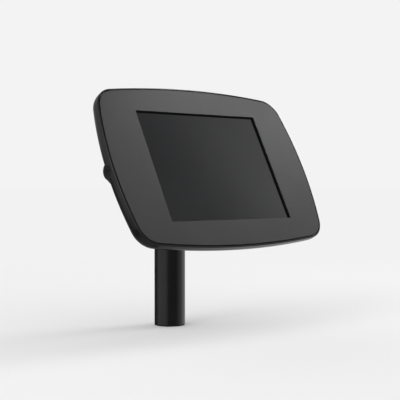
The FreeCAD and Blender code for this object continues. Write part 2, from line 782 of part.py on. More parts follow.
def stop_slot(name, low, high):
    """The curved slot that the stop pin runs in, as a solid to cut with."""
    sketch = doc.addObject("Sketcher::SketchObject", name + "_outline")
    bind(sketch, Placement__Base__z=low)
    half = "(stop_pin_diameter/2 + stop_pin_play)"
    middle = STOP_CIRCLE
    outer, inner = f"({middle} + {half})", f"({middle} - {half})"
    left, right = "(90 + head_turn/2)", "(90 - head_turn/2)"
    path(sketch, [
        (f"{outer}*cos({left})", f"{outer}*sin({left})", "0", "0", 1),
        (f"{inner}*cos({left})", f"{inner}*sin({left})",
         f"{middle}*cos({left})", f"{middle}*sin({left})", 1),
        (f"{inner}*cos({right})", f"{inner}*sin({right})", "0", "0", -1),
        (f"{outer}*cos({right})", f"{outer}*sin({right})",
         f"{middle}*cos({right})", f"{middle}*sin({right})", 1),
    ])
    solid = doc.addObject("Part::Extrusion", name)
    solid.Base = sketch
    solid.DirMode = "Normal"
    solid.Solid = True
    bind(solid, LengthFwd=f"({high}) - ({low})")
    return solid


# Rear case: a bowed tray with a rounded back, a thin rim round the face plate and the lock boss on its left
STRIKE_FOOT = "(cam_throw + cam_pin_radius + strike_play + strike_below_slot)"
LOCK_X = f"(-{FACE_WIDTH}/2 - {CASE_EDGE} + boss_inset)"
LOCK_Y = "(-lock_drop)"
LOCK_Z = f"({CASE_FLOOR} + strike_floor_gap + {STRIKE_FOOT})"
BARREL_SEAT = f"({LOCK_X} + barrel_head_thickness)"
BARREL_HEAD = "(barrel_radius + barrel_head_rim)"
CLIP_SEAT = f"({BARREL_SEAT} + clip_wall)"
CLIP_RADIUS = "(barrel_radius + clip_width)"
PLUG_RADIUS = "(barrel_radius - plug_wall)"


def make_case_outside():
    body = new_body("case_outside")
    outline = new_sketch(body, "case_outline", "XY_Plane", z=CASE_BACK)
    face_outline(outline, CASE_EDGE)
    solid = pad(body, outline, CASE_DEPTH)
    back = rounded(body, solid, lies_at(CASE_BACK), "case_back_radius")
    rounded(body, back, lies_at("0"), "rim_width - rim_land")
    return body


def make_lock_boss():
    """The boss: a round end with a rounded edge, widening towards the case, cut off level with its back."""
    body = new_body("lock_boss")
    profile = new_sketch(body, "boss_profile", "XZ_Plane", y=LOCK_Z, z="lock_drop")
    inner = f"({LOCK_X} + boss_edge_radius)"
    end = f"({LOCK_X} + boss_length)"
    path(profile, [
        (LOCK_X, "-(boss_radius - boss_edge_radius)"),
        (inner, "-boss_radius", inner, "-(boss_radius - boss_edge_radius)", 1),
        (end, "-(boss_radius + boss_flare*(boss_length - boss_edge_radius))"),
        (end, "0"),
        (LOCK_X, "0"),
    ])
    turned(body, profile, "H_Axis")
    widest = "2*boss_length + 2*boss_radius"
    room = block("boss_room", (f"{LOCK_X} - 1", f"-({widest})", CASE_BACK),
                 (f"{end} + 1", widest, "-plate_thickness - boss_top_gap"))
    return shared("boss_in_case", body, room)


def make_case_hollow(name, edge, with_rim):
    """The room inside the case, out to an edge, and the recess for the face plate in front of it."""
    body = new_body(name)
    outline = new_sketch(body, name + "_outline", "XY_Plane", z=CASE_FLOOR)
    face_outline(outline, edge)
    solid = pad(body, outline, f"{CASE_DEPTH} - case_back_thickness + 1")
    rounded(body, solid, lies_at(CASE_FLOOR), f"case_back_radius - {CASE_EDGE} + {edge}")
    if with_rim:
        recess = new_sketch(body, name + "_recess", "XY_Plane", z=PLATE_BACK)
        face_outline(recess, SEAM_EDGE)
        pad(body, recess, "plate_thickness + 1")
    return body


def make_rear_case():
    whole = joined("case_with_boss", [make_case_outside(), make_lock_boss()])
    hollow = make_case_hollow("case_hollow", CAVITY_EDGE, with_rim=True)
    bore = cylinder("lock_bore", "barrel_radius + barrel_play", "boss_length",
                    LOCK_X, LOCK_Y, LOCK_Z, across=True)
    head = cylinder("lock_head_recess", f"{BARREL_HEAD} + barrel_play", "barrel_head_thickness + 1",
                    f"{LOCK_X} - 1", LOCK_Y, LOCK_Z, across=True)
    pocket_round = cylinder("clip_pocket_round", f"{CLIP_RADIUS} + clip_pocket_play", "boss_length + 5",
                            CLIP_SEAT, LOCK_Y, LOCK_Z, across=True)
    below_ledge = block("below_ledge", (f"{CLIP_SEAT} - 1", "-40", "-40"),
                        (f"{CLIP_SEAT} + boss_length + 6", "40", "-plate_thickness - ledge_thickness"))
    clip_pocket = shared("clip_pocket", pocket_round, below_ledge)
    slot_high = "(tongue_width/2 + tongue_slot_play)"
    slot_top = f"{PLATE_BACK} - ledge_thickness"
    slot_start = f"{FACE_WIDTH}/2 - tongue_slot_mouth"
    slot_end = f"{FACE_WIDTH}/2 + {CASE_EDGE} - tongue_slot_skin"
    tongue_slot = block("tongue_slot", (slot_start, f"-{slot_high}", f"{slot_top} - tongue_slot_depth"),
                        (slot_end, slot_high, slot_top))
    hub = cylinder("case_hub_hole", NECK_HOLE, "case_back_thickness + 2", z=f"{CASE_BACK} - 1")
    slot = stop_slot("case_stop_slot", f"{CASE_BACK} - 1", f"{CASE_FLOOR} + 1")
    screws = new_body("case_screw_holes")
    profile = countersunk(screws, "case_screw_hole", CASE_BACK, -1, BACKING_SCREWS, "screw_play",
                          "case_back_thickness + 1")
    first = turned(screws, profile, "V_Axis")
    doc.recompute()
    axis = new_sketch(screws, "case_screw_axis", "XY_Plane")
    ringed(screws, [first], axis, "backing_screw_count")
    case = cut_from("rear_case", whole, [hollow, bore, head, clip_pocket, tongue_slot, hub, slot, screws])
    finished("rear_case", case)


# Steel backing plate round the pivot, its screws from outside and its nuts
def make_backing_plate():
    body = new_body("backing_disc")
    disc = new_sketch(body, "backing_outline", "XY_Plane", z=CASE_FLOOR)
    circle(disc, BACKING_PLATE)
    circle(disc, NECK_HOLE)
    pad(body, disc, "backing_plate_thickness")
    hole = new_sketch(body, "backing_screw_hole", "XY_Plane", z=BACKING_FRONT)
    circle(hole, "screw_diameter/2 + screw_play", x=BACKING_SCREWS)
    doc.recompute()
    cut = pocket(body, hole, "backing_plate_thickness")
    doc.recompute()
    ringed(body, [cut], hole, "backing_screw_count")
    slot = stop_slot("backing_stop_slot", f"{CASE_FLOOR} - 1", f"{BACKING_FRONT} + 1")
    finished("backing_plate", cut_from("backing_plate", body, [slot]))
    make_countersunk_screws("backing_screws", CASE_BACK, -1, BACKING_SCREWS, "backing_screw_count",
                            "case_back_thickness + backing_plate_thickness + nut_height + screw_end")
    nuts = new_body("backing_nuts_body")
    section = new_sketch(nuts, "backing_nut_section", "XY_Plane", z=BACKING_FRONT)
    hexagon_path(section, "nut_across_flats", x=BACKING_SCREWS)
    circle(section, "screw_diameter/2 + turn_clearance", x=BACKING_SCREWS)
    nut = pad(nuts, section, "nut_height")
    doc.recompute()
    axis = new_sketch(nuts, "backing_nut_axis", "XY_Plane")
    ringed(nuts, [nut], axis, "backing_screw_count")
    finished("backing_nuts", nuts)


# Cam lock: barrel and horseshoe clip, fixed in the boss
def lock_sketch(body, name):
    """A sketch in a plane through the lock's axis, with the axis as its horizontal."""
    return new_sketch(body, name, "XZ_Plane", y=LOCK_Z, z="lock_drop")


def across_sketch(body, name, along):
    """A sketch square to the lock's axis, with Y up the face and Z out of it."""
    return new_sketch(body, name, "YZ_Plane", x=LOCK_Y, y=LOCK_Z, z=along)


def make_lock_barrel():
    body = new_body("lock_barrel_body")
    profile = lock_sketch(body, "barrel_profile")
    bore, tail = f"({PLUG_RADIUS} + plug_play)", f"({BARREL_SEAT} + barrel_length)"
    groove, groove_end = "(barrel_radius - clip_groove_depth)", f"({CLIP_SEAT} + clip_thickness + clip_play)"
    path(profile, [
        (LOCK_X, bore), (tail, bore), (tail, "barrel_radius"), (groove_end, "barrel_radius"),
        (groove_end, groove), (CLIP_SEAT, groove), (CLIP_SEAT, "barrel_radius"), (BARREL_SEAT, "barrel_radius"),
        (BARREL_SEAT, BARREL_HEAD), (f"{LOCK_X} + barrel_head_chamfer", BARREL_HEAD),
        (LOCK_X, f"{BARREL_HEAD} - barrel_head_chamfer"),
    ])
    turned(body, profile, "H_Axis")
    finished("lock_barrel", body)


def make_lock_clip():
    body = new_body("lock_clip_body")
    outline = across_sketch(body, "clip_outline", CLIP_SEAT)
    inner = "(barrel_radius - clip_groove_depth + clip_play)"
    rise = f"(-{LOCK_Z} - plate_thickness - ledge_thickness - clip_gap)"
    path(outline, [
        (CLIP_RADIUS, rise), (inner, rise), (inner, "0"), (f"-{inner}", "0", "0", "0", -1), (f"-{inner}", rise),
        (f"-{CLIP_RADIUS}", rise), (f"-{CLIP_RADIUS}", "0"), (CLIP_RADIUS, "0", "0", "0", 1),
    ])
    pad(body, outline, "clip_thickness")
    finished("lock_clip", body)


# Lock core: the plug with its keyway, the cam, the cam's pin and the screw that holds the cam
CAM_SEAT = f"({BARREL_SEAT} + barrel_length + plug_tail)"
CAM_FACE = f"({CAM_SEAT} + cam_thickness)"


def make_lock_plug():
    body = new_body("lock_plug_body")
    disc = across_sketch(body, "plug_round", f"{LOCK_X} + plug_recess")
    circle(disc, PLUG_RADIUS)
    pad(body, disc, f"{CAM_SEAT} - {LOCK_X} - plug_recess")
    square = across_sketch(body, "plug_square", CAM_SEAT)
    rectangle(square, "-drive_square/2", "-drive_square/2", "drive_square/2", "drive_square/2")
    pad(body, square, "cam_thickness")
    keyway = across_sketch(body, "plug_keyway", f"{LOCK_X} + plug_recess + keyway_depth")
    high = f"({PLUG_RADIUS} - keyway_wall)"
    rectangle(keyway, "-keyway_width/2", f"-{high}", "keyway_width/2", high)
    pocket(body, keyway, "keyway_depth + 1")
    tapped = across_sketch(body, "plug_screw_hole", CAM_FACE)
    circle(tapped, "cam_screw_radius + cam_play")
    pocket(body, tapped, "cam_screw_length + cam_screw_end_gap")
    finished("lock_plug", body)


def make_lock_cam():
    body = new_body("lock_cam_body")
    outline = across_sketch(body, "cam_outline", CAM_SEAT)
    nose = "(cam_throw - cam_nose_back)"
    path(outline, [
        (nose, "-cam_radius"),
        (nose, "cam_radius", nose, "0", 1),
        ("0", "cam_radius"),
        ("0", "-cam_radius", "0", "0", 1),
    ])
    half = "(drive_square/2 + cam_play)"
    rectangle(outline, f"-{half}", f"-{half}", half, half)
    circle(outline, "cam_pin_radius + cam_play", x="cam_throw")
    pad(body, outline, "cam_thickness")
    finished("lock_cam", body)
    pin = new_body("cam_pin_body")
    section = across_sketch(pin, "cam_pin_section", CAM_SEAT)
    circle(section, "cam_pin_radius", x="cam_throw")
    pad(pin, section, "cam_thickness + strike_gap + bracket_thickness + cam_pin_beyond")
    finished("cam_pin", pin)


def make_cam_screw():
    body = new_body("cam_screw_body")
    profile = lock_sketch(body, "cam_screw_profile")
    tip, top = f"({CAM_FACE} - cam_screw_length)", f"({CAM_FACE} + cam_screw_head_height)"
    path(profile, [
        (top, "0"), (top, "cam_screw_head_radius"), (CAM_FACE, "cam_screw_head_radius"),
        (CAM_FACE, "cam_screw_radius"), (tip, "cam_screw_radius"), (tip, "0"),
    ])
    turned(body, profile, "H_Axis")
    finished("cam_screw", body)


# Face plate with its window, and the foam gasket round the window
def make_faceplate():
    body = new_body("faceplate_body")
    outline = new_sketch(body, "plate_outline", "XY_Plane", z=PLATE_BACK)
    face_outline(outline, PLATE_EDGE)
    rectangle(outline, f"-{WINDOW_WIDTH}/2", f"-{WINDOW_HEIGHT}/2", f"{WINDOW_WIDTH}/2", f"{WINDOW_HEIGHT}/2")
    solid = pad(body, outline, "plate_thickness")
    front = lies_at("0")
    edge = rounded(body, solid, lambda line: front(line) and line.Curve.TypeId == "Part::GeomCircle",
                   "plate_edge_radius")
    chamfered(body, edge, lambda line: front(line) and line.Curve.TypeId == "Part::GeomLine", "window_chamfer")
    finished("faceplate", body)


def make_window_gasket():
    body = new_body("window_gasket_body")
    frame = new_sketch(body, "gasket_frame", "XY_Plane", z=GLASS_FRONT)
    for extra in ("gasket_setback", "(gasket_setback + gasket_width)"):
        wide, high = f"({WINDOW_WIDTH}/2 + {extra})", f"({WINDOW_HEIGHT}/2 + {extra})"
        rectangle(frame, f"-{wide}", f"-{high}", wide, high)
    pad(body, frame, "gasket_thickness")
    finished("window_gasket", body)


# Strike: hangs from the plate beside the lock, with a hooked slot that the cam's pin turns into
STRIKE_X = f"({CAM_FACE} + strike_gap)"
BRACKET_BACK = f"({PLATE_BACK} - bracket_thickness)"


def make_lock_strike():
    body = new_body("lock_strike_body")
    corner = new_sketch(body, "strike_corner", "XZ_Plane", z="lock_drop")
    inner = f"({STRIKE_X} + bracket_thickness)"
    foot = f"({LOCK_Z} - {STRIKE_FOOT})"
    path(corner, [
        (STRIKE_X, foot), (inner, foot), (inner, BRACKET_BACK), (f"{STRIKE_X} + strike_flange", BRACKET_BACK),
        (f"{STRIKE_X} + strike_flange", PLATE_BACK), (STRIKE_X, PLATE_BACK),
    ])
    pad(body, corner, "2*strike_half_width", both_ways=True)
    hook = across_sketch(body, "strike_slot", f"{inner} + 1")
    reach = "(cam_pin_radius + strike_play)"
    outer, near = f"(cam_throw + {reach})", f"(cam_throw - {reach})"
    mouth = f"-sqrt({outer}^2 - {near}^2)"
    below = f"-({STRIKE_FOOT} + 1)"
    path(hook, [
        (outer, "0"),
        (near, "0", "cam_throw", "0", 1),
        ("0", f"-{near}", "0", "0", -1),
        ("0", f"-{outer}", "0", "-cam_throw", 1),
        (near, mouth, "0", "0", 1),
        (near, below),
        (outer, below),
    ])
    doc.recompute()
    pocket(body, hook, "bracket_thickness + 2")
    holes = new_sketch(body, "strike_stud_holes", "XY_Plane", z=PLATE_BACK)
    for side in ("-", ""):
        circle(holes, "stud_diameter/2 + screw_play", f"{STRIKE_X} + strike_stud_inset",
               f"-lock_drop + {side}strike_stud_spacing/2")
    pocket(body, holes, "bracket_thickness + 1")
    finished("lock_strike", body)


# Tongue: screwed behind the plate's right edge, it hooks under the ledge of the case's right wall
TONGUE_END = f"({FACE_WIDTH}/2 + {PLATE_EDGE} + tongue_reach)"
TONGUE_STEP = f"({FACE_WIDTH}/2 - tongue_step_back)"
TONGUE_TOP = f"({PLATE_BACK} - ledge_thickness - tongue_drop)"


def make_hinge_tongue():
    body = new_body("hinge_tongue_body")
    profile = new_sketch(body, "tongue_profile", "XZ_Plane")
    step_out = f"({TONGUE_STEP} + bracket_thickness)"
    bottom = f"({TONGUE_TOP} - bracket_thickness)"
    path(profile, [
        (step_out, PLATE_BACK), (f"{TONGUE_STEP} - tongue_base", PLATE_BACK),
        (f"{TONGUE_STEP} - tongue_base", BRACKET_BACK), (TONGUE_STEP, BRACKET_BACK),
        (TONGUE_STEP, bottom), (TONGUE_END, bottom), (TONGUE_END, TONGUE_TOP), (step_out, TONGUE_TOP),
    ])
    pad(body, profile, "tongue_width", both_ways=True)
    holes = new_sketch(body, "tongue_stud_holes", "XY_Plane", z=PLATE_BACK)
    for side in ("-", ""):
        circle(holes, "stud_diameter/2 + screw_play", f"{TONGUE_STEP} - tongue_stud_inset",
               f"{side}tongue_stud_spacing/2")
    doc.recompute()
    pocket(body, holes, "bracket_thickness + 1")
    finished("hinge_tongue", body)


def make_bracket_fasteners():
    """Weld studs on the back of the plate, two for the strike and two for the tongue, and their nuts."""
    places = []
    for side in ("-", ""):
        places.append((f"{STRIKE_X} + strike_stud_inset", f"-lock_drop + {side}strike_stud_spacing/2"))
        places.append((f"{TONGUE_STEP} - tongue_stud_inset", f"{side}tongue_stud_spacing/2"))
    studs = new_body("bracket_studs_body")
    length = "(bracket_thickness + nut_height + stud_end)"
    section = new_sketch(studs, "stud_section", "XY_Plane", z=f"{PLATE_BACK} - {length}")
    nuts = new_body("bracket_nuts_body")
    nut_section = new_sketch(nuts, "bracket_nut_section", "XY_Plane", z=f"{BRACKET_BACK} - nut_height")
    for x, y in places:
        circle(section, "stud_diameter/2", x, y)
        hexagon_path(nut_section, "nut_across_flats", x, y)
        circle(nut_section, "stud_diameter/2 + turn_clearance", x, y)
    pad(studs, section, length)
    pad(nuts, nut_section, "nut_height")
    finished("bracket_studs", studs)
    finished("bracket_nuts", nuts)


# A plain tablet: tray, battery, display and cover glass
def make_tablet():
    body = new_body("tablet_shell_body")
    outline = new_sketch(body, "shell_outline", "XY_Plane", z=TABLET_BACK)
    rounded_rectangle(outline, "(tablet_width/2)", "(tablet_height/2)", "tablet_corner_radius")
    solid = pad(body, outline, f"{TABLET_THICKNESS} - glass_thickness")
    rounded(body, solid, lies_at(TABLET_BACK), "tablet_back_radius")
    doc.recompute()
    inside = new_sketch(body, "shell_inside", "XY_Plane", z=GLASS_BACK)
    rounded_rectangle(inside, "(tablet_width/2 - tablet_wall)", "(tablet_height/2 - tablet_wall)",
                      "(tablet_corner_radius - tablet_wall)")
    pocket(body, inside, f"{TABLET_THICKNESS} - glass_thickness - tablet_floor")
    finished("tablet_shell", body)
    battery = new_body("tablet_battery_body")
    base = new_sketch(battery, "battery_outline", "XY_Plane", z=f"{TABLET_BACK} + tablet_floor")
    rounded_rectangle(base, "(tablet_width/2 - battery_inset)", "(tablet_height/2 - battery_end_inset)",
                      "inner_corner_radius")
    pad(battery, base, "battery_thickness")
    finished("tablet_battery", battery)
    display = new_body("tablet_display_body")
    panel = new_sketch(display, "display_outline", "XY_Plane", z=f"{GLASS_BACK} - display_thickness")
    rounded_rectangle(panel, f"({WINDOW_WIDTH}/2 + display_border)", f"({WINDOW_HEIGHT}/2 + display_border)",
                      "inner_corner_radius")
    pad(display, panel, "display_thickness")
    finished("tablet_display", display)
    glass = new_body("tablet_glass_body")
    cover = new_sketch(glass, "glass_outline", "XY_Plane", z=GLASS_BACK)
    rounded_rectangle(cover, "(tablet_width/2 - glass_inset)", "(tablet_height/2 - glass_inset)",
                      "(tablet_corner_radius - glass_inset)")
    sheet_of_glass = pad(glass, cover, "glass_thickness")
    chamfered(glass, sheet_of_glass, lies_at(GLASS_FRONT), "glass_edge")
    finished("tablet_glass", glass)


# Foam pads: four blocks behind the tablet and four corners round it
def make_tablet_pads():
    body = new_body("tablet_back_pads_body")
    blocks = new_sketch(body, "back_pad_outlines", "XY_Plane", z=CASE_FLOOR)
    near_x, near_y = "(tablet_width/2 - back_pad_inset)", "(tablet_height/2 - back_pad_inset)"
    for left in ("-", ""):
        for down in ("-", ""):
            rectangle(blocks, f"{left}({near_x} - back_pad_size)", f"{down}({near_y} - back_pad_size)",
                      f"{left}{near_x}", f"{down}{near_y}")
    pad(body, blocks, f"{TABLET_BACK} - {CASE_FLOOR}")
    finished("tablet_back_pads", body)
    corners = new_body("corner_pad_blocks")
    outlines = new_sketch(corners, "corner_pad_outlines", "XY_Plane", z=CASE_FLOOR)
    inner_x, inner_y = "(tablet_width/2 + pad_gap)", "(tablet_height/2 + pad_gap)"
    for left in ("-", ""):
        for down in ("-", ""):
            outer_x, outer_y = f"{left}({inner_x} + corner_pad_width)", f"{down}({inner_y} + corner_pad_width)"
            near_x, near_y = f"{left}({inner_x} - corner_pad_leg)", f"{down}({inner_y} - corner_pad_leg)"
            path(outlines, [
                (outer_x, outer_y), (near_x, outer_y), (near_x, f"{down}{inner_y}"),
                (f"{left}{inner_x}", f"{down}{inner_y}"), (f"{left}{inner_x}", near_y), (outer_x, near_y),
            ])
    pad(corners, outlines, f"{GLASS_FRONT} - corner_pad_drop - {CASE_FLOOR}")
    room = make_case_hollow("corner_pad_room", f"({CAVITY_EDGE} - pad_gap)", with_rim=False)
    finished("tablet_corner_pads", shared("tablet_corner_pads", corners, room))


make_arm_pole()
make_arm_bend()
make_base_plug()
make_foot_gasket()
make_arm_flange()
make_collar_set_screws()
make_friction_washers()
make_retaining_plate()
make_hub_grommet()
make_stop_pin()
make_rear_case()
make_backing_plate()
make_lock_barrel()
make_lock_clip()
make_lock_plug()
make_lock_cam()
make_cam_screw()
make_faceplate()
make_window_gasket()
make_lock_strike()
make_hinge_tongue()
make_bracket_fasteners()
make_tablet()
make_tablet_pads()
doc.recompute()

# Check the document, then write one file for each piece
for item in doc.Objects:
    if "Invalid" in item.State or "Error" in item.State:
        raise RuntimeError(f"{item.Label} did not come out: {item.State}")
for piece in pieces:
    if piece.Shape.isNull() or not piece.Shape.isValid() or not piece.Shape.Solids:
        raise RuntimeError(f"{piece.Label} has no valid solid")
os.makedirs("parts", exist_ok=True)
for piece in pieces:
    piece.Shape.exportStep(f"parts/{piece.Label}.step")
    print(f"{piece.Label}: {len(piece.Shape.Solids)} solid(s), {piece.Shape.Volume/1000:.2f} cm3")
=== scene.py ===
import json
from math import pi, radians, sin

import bpy
import bmesh
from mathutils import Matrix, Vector


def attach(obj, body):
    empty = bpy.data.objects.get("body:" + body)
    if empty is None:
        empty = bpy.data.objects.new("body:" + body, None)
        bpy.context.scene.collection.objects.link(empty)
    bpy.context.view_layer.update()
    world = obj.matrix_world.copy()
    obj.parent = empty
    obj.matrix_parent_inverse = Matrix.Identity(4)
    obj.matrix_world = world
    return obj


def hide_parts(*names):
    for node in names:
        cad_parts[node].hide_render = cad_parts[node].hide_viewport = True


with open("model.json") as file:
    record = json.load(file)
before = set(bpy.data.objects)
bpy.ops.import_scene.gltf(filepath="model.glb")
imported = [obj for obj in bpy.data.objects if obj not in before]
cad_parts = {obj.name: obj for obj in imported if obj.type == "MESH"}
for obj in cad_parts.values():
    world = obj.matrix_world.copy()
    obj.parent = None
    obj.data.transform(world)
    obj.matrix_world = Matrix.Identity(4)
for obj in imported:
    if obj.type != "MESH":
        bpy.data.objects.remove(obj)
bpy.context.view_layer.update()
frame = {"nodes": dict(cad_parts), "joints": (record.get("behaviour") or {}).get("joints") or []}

# Arm
# A straight 40 mm steel pole with a mandrel-bent arm welded on it, the weld ground flush, powder coated satin
# black as one. It stands on the counter and runs up into the flange behind the case.


def linear(hex_colour):
    """A colour written as sRGB hex, as the linear values that a shader reads."""
    parts = [int(hex_colour[place:place + 2], 16) / 255 for place in (1, 3, 5)]
    return [part / 12.92 if part <= 0.04045 else ((part + 0.055) / 1.055) ** 2.4 for part in parts] + [1]


def add(material, kind, links=None, **settings):
    """Adds a node. Settings are its properties; links join its sockets or give them a value."""
    node = material.node_tree.nodes.new(kind)
    for name, setting in settings.items():
        setattr(node, name, setting)
    for socket, source in (links or {}).items():
        if isinstance(source, bpy.types.NodeSocket):
            material.node_tree.links.new(source, node.inputs[socket])
        else:
            node.inputs[socket].default_value = source
    return node


def finish_material(name, colour, roughness, **shader):
    """A material with a Principled shader whose even values sit on the shader itself."""
    material = bpy.data.materials.new(name)
    material.use_nodes = True
    surface = material.node_tree.nodes["Principled BSDF"]
    surface.inputs["Base Color"].default_value = linear(colour)
    surface.inputs["Roughness"].default_value = roughness
    for socket, setting in shader.items():
        surface.inputs[socket.replace("_", " ")].default_value = setting
    return material


def into_shader(material, socket, source):
    """Joins a pattern to a socket of the material's shader."""
    surface = material.node_tree.nodes["Principled BSDF"]
    material.node_tree.links.new(source, surface.inputs[socket])


def place_on(material):
    """Places on the piece in metres, for the patterns of its finish."""
    return add(material, "ShaderNodeTexCoord").outputs["Object"]


def dress(material, *nodes):
    """Gives CAD nodes their finish."""
    for node in nodes:
        for slot in frame["nodes"][node].material_slots:
            slot.material = material


def relief(material, height, depth):
    """Bump of a height pattern, its full depth in metres, into the shader."""
    bump = add(material, "ShaderNodeBump", {"Height": height, "Distance": depth, "Strength": 1.0})
    into_shader(material, "Normal", bump.outputs["Normal"])


def two_tone(material, pattern, first, second):
    """The shader's colour goes from one colour to another as a pattern does."""
    mix = add(material, "ShaderNodeMix", {"Factor": pattern}, data_type="RGBA")
    mix.inputs["A"].default_value = linear(first)
    mix.inputs["B"].default_value = linear(second)
    into_shader(material, "Base Color", mix.outputs["Result"])


def mottled(material, place, first, second, size):
    """The shader's colour drifts between two colours in soft patches of a size in metres."""
    cloud = add(material, "ShaderNodeTexNoise", {"Vector": place, "Scale": 1 / size, "Detail": 3.0})
    patches = add(material, "ShaderNodeMapRange",
                  {"Value": cloud.outputs["Fac"], "From Min": 0.35, "From Max": 0.65})
    two_tone(material, patches.outputs["Result"], first, second)


def powder_coat(name, light, dark, roughness, specular):
    """Satin black polyester powder: cured droplets leave a soft orange peel, and the sheen spreads wide."""
    peel_size = 0.0016
    peel_depth = 0.00003
    material = finish_material(name, light, roughness, Specular_IOR_Level=specular)
    place = place_on(material)
    mottled(material, place, light, dark, size=0.05)
    peel = add(material, "ShaderNodeTexNoise", {"Vector": place, "Scale": 1 / peel_size, "Detail": 1.0})
    relief(material, peel.outputs["Fac"], peel_depth)
    return material


dress(powder_coat("tube_satin_powder_coat", "#121213", "#161617", roughness=0.2, specular=0.5),
      "arm_pole", "arm_bend")

# Foot
# A steel plug welded flush into the tube takes the screws from below the counter. A thin rubber ring under
# the tube's wall keeps it off the counter top.


def zinc_plate(name):
    """Bright zinc on steel, clear passivated: a faint blue cast and small soft spangles over a fine grain."""
    spangle_size = 0.004
    grain_size = 0.0006
    grain_depth = 0.000012
    material = finish_material(name, "#b9bcc0", 0.34, Metallic=1.0)
    place = place_on(material)
    mottled(material, place, "#a9adb3", "#c6c8c9", size=spangle_size)
    grain = add(material, "ShaderNodeTexNoise", {"Vector": place, "Scale": 1 / grain_size, "Detail": 2.0})
    relief(material, grain.outputs["Fac"], grain_depth)
    return material


def moulded_rubber(name):
    """Black EPDM rubber, press moulded: matt, with a fine even grain."""
    grain_size = 0.0005
    grain_depth = 0.00003
    material = finish_material(name, "#141414", 0.78)
    place = place_on(material)
    mottled(material, place, "#121212", "#191919", size=0.006)
    grain = add(material, "ShaderNodeTexNoise", {"Vector": place, "Scale": 1 / grain_size, "Detail": 2.0})
    relief(material, grain.outputs["Fac"], grain_depth)
    return material


zinc = zinc_plate("zinc_plated_steel")
rubber = moulded_rubber("black_rubber")
dress(zinc, "base_plug")
dress(rubber, "foot_gasket")

# Flange
# One turned aluminium piece, black anodised, socketed over the tube's end and held by three grub screws. Its
# neck passes through the case's back.

# Half a wave of Blender's wave texture at scale 1, in metres: one light or one dark line of a pattern
HALF_WAVE = 0.157


def joint_place(name):
    """Where a joint's axis lies: a point on it, and the turn from +Z to its direction."""
    joint = next(each for each in frame["joints"] if each["name"] == name)
    return Vector(joint["pos_m"]), Vector(joint["axis"]).to_track_quat("Z", "Y").to_euler()


def turned(name, colour, axis, line_width, roughness, metallic):
    """Turned work about a joint's axis: fine rings that the tool leaves, each of a set width in metres."""
    ring_depth = 0.00002
    middle, turn = axis
    material = finish_material(name, colour, roughness, Metallic=metallic)
    about = add(material, "ShaderNodeMapping",
                {"Vector": place_on(material), "Location": middle, "Rotation": turn}, vector_type="TEXTURE")
    rings = add(material, "ShaderNodeTexWave",
                {"Vector": about.outputs["Vector"], "Scale": HALF_WAVE / line_width, "Distortion": 0.3,
                 "Detail": 1.0},
                wave_type="RINGS", rings_direction="Z")
    relief(material, rings.outputs["Fac"], ring_depth)
    return material


def black_oxide(name):
    """Black oxide on hardened steel: a thin dark film that still shows metal under it."""
    material = finish_material(name, "#2a2a2c", 0.4, Metallic=0.85)
    mottled(material, place_on(material), "#232325", "#333336", size=0.002)
    return material


head_axis = joint_place("head_rotate")
oxide = black_oxide("black_oxide_steel")
dress(turned("black_anodised_turning", "#1d1d1f", head_axis, line_width=0.0009, roughness=0.38,
             metallic=0.55),
      "arm_flange")
dress(oxide, "collar_set_screws", "retaining_screws")

# Turning joint
# Two acetal washers ride on the case's back, clamped by a steel plate on the neck. A steel pin in a curved
# slot stops the turn, and a rubber grommet lines the cable's way in.


def acetal(name):
    """Machined acetal: black, waxy and smooth."""
    material = finish_material(name, "#19191a", 0.35)
    mottled(material, place_on(material), "#171718", "#1d1d1e", size=0.008)
    return material


dress(acetal("black_acetal"), "outer_friction_washer", "inner_friction_washer")
dress(turned("zinc_plated_turning", "#b4b7bb", head_axis, line_width=0.0008, roughness=0.3,
             metallic=1.0),
      "retaining_plate", "stop_pin")
dress(rubber, "hub_grommet")

# Rear case
# Moulded in flame-retardant ABS, black right through. The tool's spark-eroded cavity leaves an even satin
# grain on the outside.


def moulded_abs(name, light, dark):
    """Spark-eroded texture on black ABS: pits about 0.4 mm wide that break the gloss up."""
    pit_size = 0.0004
    pit_depth = 0.00002
    material = finish_material(name, light, 0.2)
    place = place_on(material)
    mottled(material, place, light, dark, size=0.06)
    pits = add(material, "ShaderNodeTexVoronoi", {"Vector": place, "Scale": 1 / pit_size},
               feature="SMOOTH_F1")
    relief(material, pits.outputs["Distance"], pit_depth)
    return material


dress(moulded_abs("black_moulded_abs", "#151516", "#19191a"), "rear_case")
dress(zinc, "backing_plate", "backing_nuts")
dress(oxide, "backing_screws")

# Cam lock
# A die-cast barrel and plug, black electrocoated, in the boss on the case's left wall. The cam, its pin and
# the clip are zinc plated.
dress(turned("black_electrocoated_die_casting", "#222224", joint_place("lock_turn"), line_width=0.0006,
             roughness=0.36, metallic=0.6),
      "lock_barrel", "lock_plug")
dress(zinc, "lock_clip", "lock_cam", "cam_pin", "cam_screw")

# Tablet
# A plain tablet of the 9.7 inch class: a blasted aluminium tray, a wrapped battery, a dark display and a
# cover glass bonded over it.


def blasted_aluminium(name):
    """Aluminium, bead blasted and clear anodised: a fine even sparkle with no direction."""
    bead_size = 0.0003
    bead_depth = 0.00001
    material = finish_material(name, "#b8babd", 0.42, Metallic=1.0)
    place = place_on(material)
    mottled(material, place, "#b4b6b9", "#bcbec1", size=0.03)
    beads = add(material, "ShaderNodeTexNoise", {"Vector": place, "Scale": 1 / bead_size, "Detail": 2.0})
    relief(material, beads.outputs["Fac"], bead_depth)
    return material


def display(name):
    """A switched-off display: black with a trace of blue. Its pixel rows are far too fine to show, so they
    are drawn 1 mm wide."""
    row_width = 0.001
    material = finish_material(name, "#0a0b0d", 0.25)
    rows = add(material, "ShaderNodeTexWave", {"Vector": place_on(material), "Scale": HALF_WAVE / row_width},
               wave_type="BANDS", bands_direction="X")
    two_tone(material, rows.outputs["Fac"], "#090a0c", "#0b0c0e")
    return material


